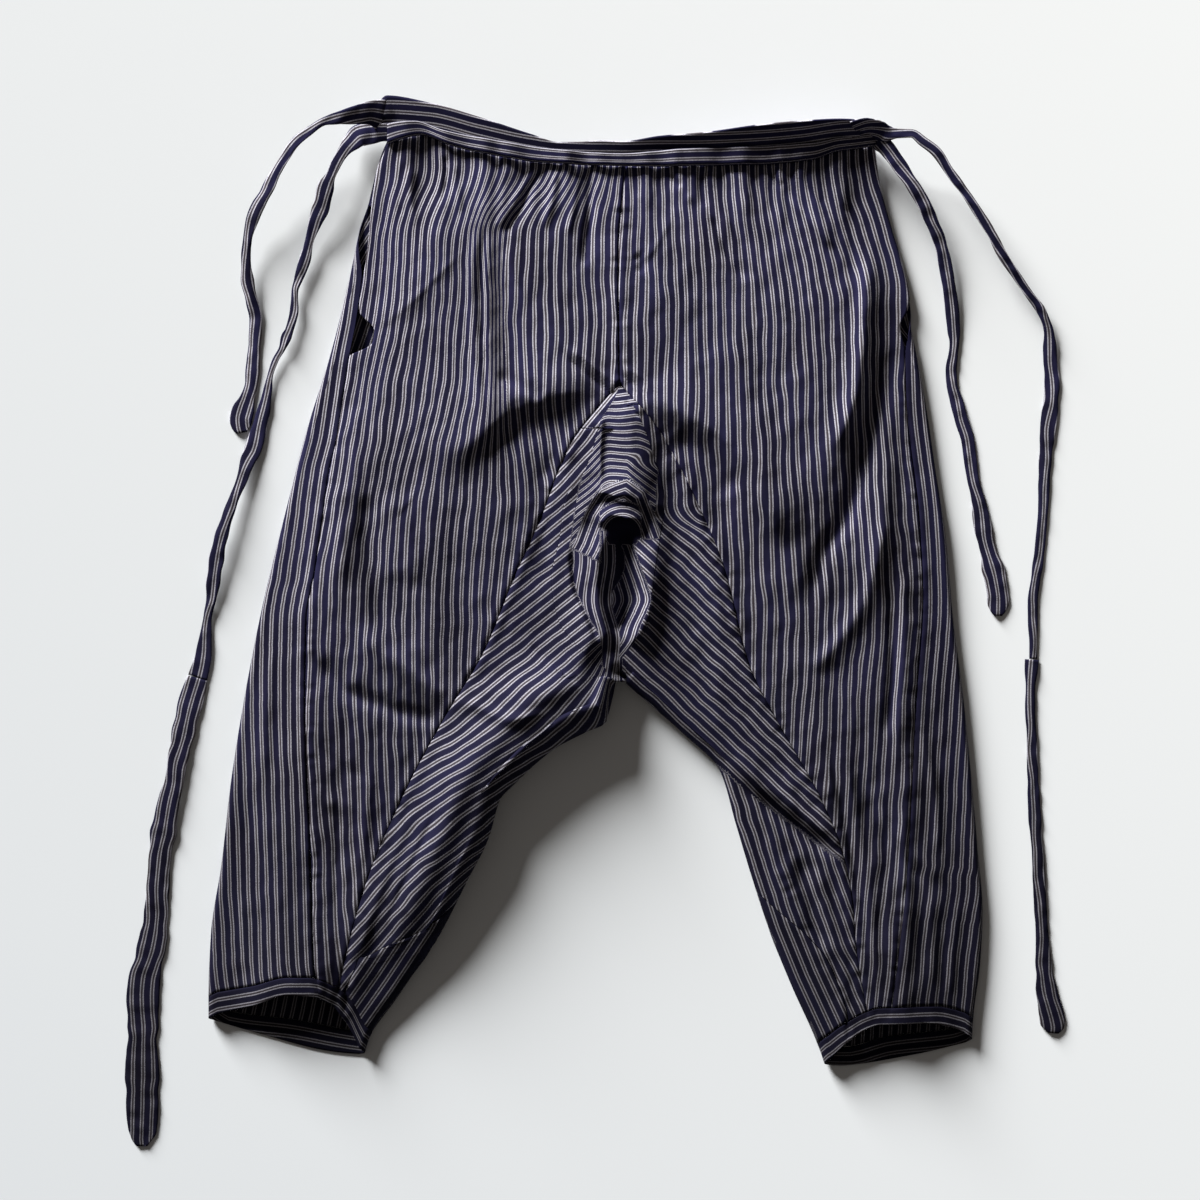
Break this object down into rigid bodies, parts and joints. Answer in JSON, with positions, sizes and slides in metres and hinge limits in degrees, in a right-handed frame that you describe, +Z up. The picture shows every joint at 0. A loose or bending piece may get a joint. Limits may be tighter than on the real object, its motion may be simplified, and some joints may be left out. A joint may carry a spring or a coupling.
{
  "type": "monpe work trousers",
  "caption": "Loose striped cotton work trousers with gathered waist, crotch and leg gussets, banded hems, side slits and waist ties, laid out flat.",
  "frame": {"origin": "under the middle of the whole laid-out garment with its ties, on the surface it lies on", "axes": "+X to the right of the laid-out garment seen from above, +Y from the hems to the waist, +Z up from the surface, through the front panels"},
  "size_m": [0.7973, 0.8907, 0.0386],
  "materials": {
    "striped_cotton": "matt, worn plain weave: navy with double off-white and grey-brown stripes every 8.1 mm",
    "band_cotton": "matt, the same stripes along the band",
    "tie_cotton": "matt, the same stripes along the tie"
  },
  "bodies": {
    "root": {"front_left": "striped_cotton", "front_right": "striped_cotton", "gusset_left": "striped_cotton", "gusset_right": "striped_cotton", "crotch_gusset": "striped_cotton", "back_left": "striped_cotton", "back_right": "striped_cotton", "hem_band_left": "band_cotton", "hem_band_right": "band_cotton", "waistband_front": "band_cotton", "waistband_back": "band_cotton", "tie_back_left": "tie_cotton", "tie_front_left": "tie_cotton", "tie_front_left_end": "tie_cotton", "tie_front_right": "tie_cotton", "tie_back_right": "tie_cotton", "tie_back_right_end": "tie_cotton"}
  },
  "joints": []
}
